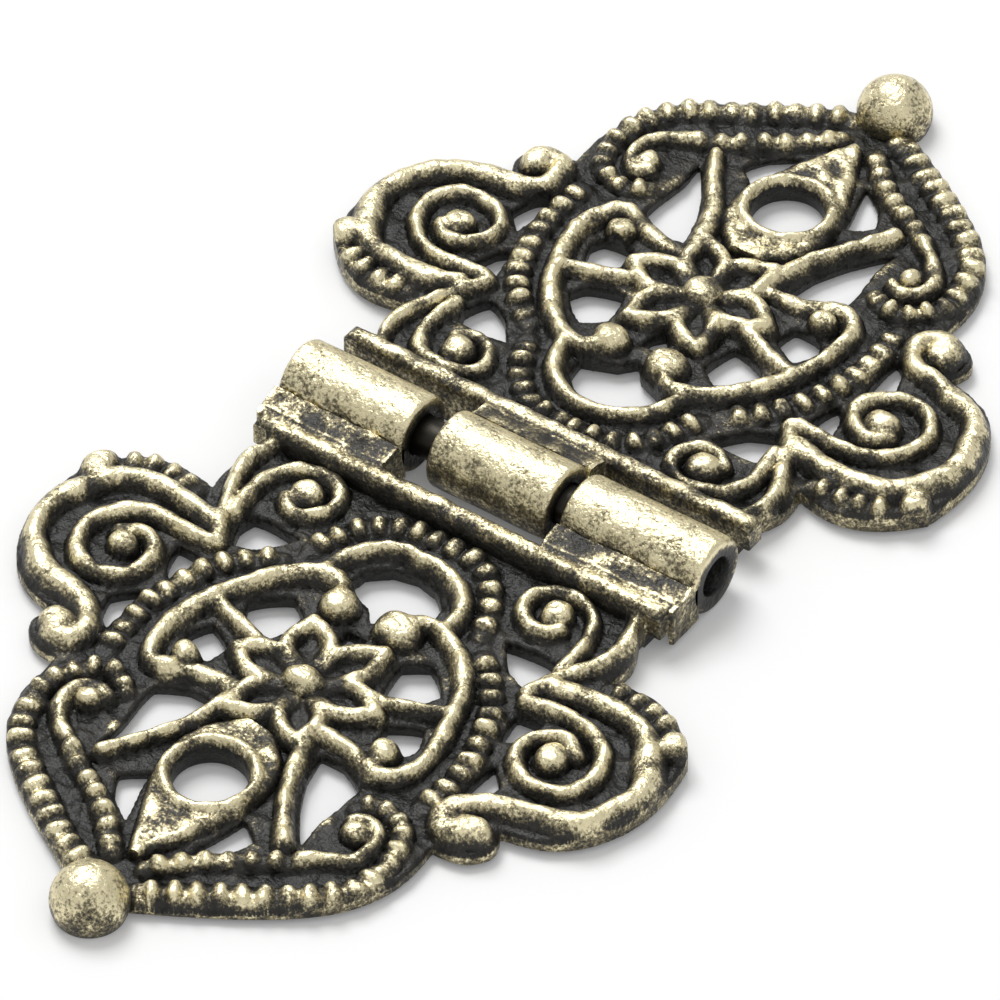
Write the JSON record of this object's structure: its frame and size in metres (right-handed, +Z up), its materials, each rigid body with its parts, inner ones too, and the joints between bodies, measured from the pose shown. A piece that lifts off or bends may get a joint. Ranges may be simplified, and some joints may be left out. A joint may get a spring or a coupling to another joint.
{
  "type": "decorative box hinge",
  "caption": "Small openwork filigree hinge for a wooden box lid: pointed scroll leaves with flower and beaded edges, joined by a pinned barrel, in antique bronze finish.",
  "frame": {"origin": "under the middle of the pin, on the plane of the leaf backs", "axes": "+X along the pin, +Y across the hinge towards the rear leaf, +Z up out of the decorated faces"},
  "size_m": [0.0314, 0.0622, 0.0035],
  "materials": {
    "antique_bronze": "blackened in the recesses, rubbed bright on the ridges",
    "pin_steel": "dull, darkened"
  },
  "bodies": {
    "front": {"front_leaf": "antique_bronze", "hinge_pin": "pin_steel"},
    "rear": {"rear_leaf": "antique_bronze"}
  },
  "joints": [
    {"name": "leaf_hinge", "type": "hinge", "parent": "front", "child": "rear", "pos_m": [0, 0, 0.00175], "axis": [1, 0, 0], "range_deg": [-90, 150]}
  ]
}
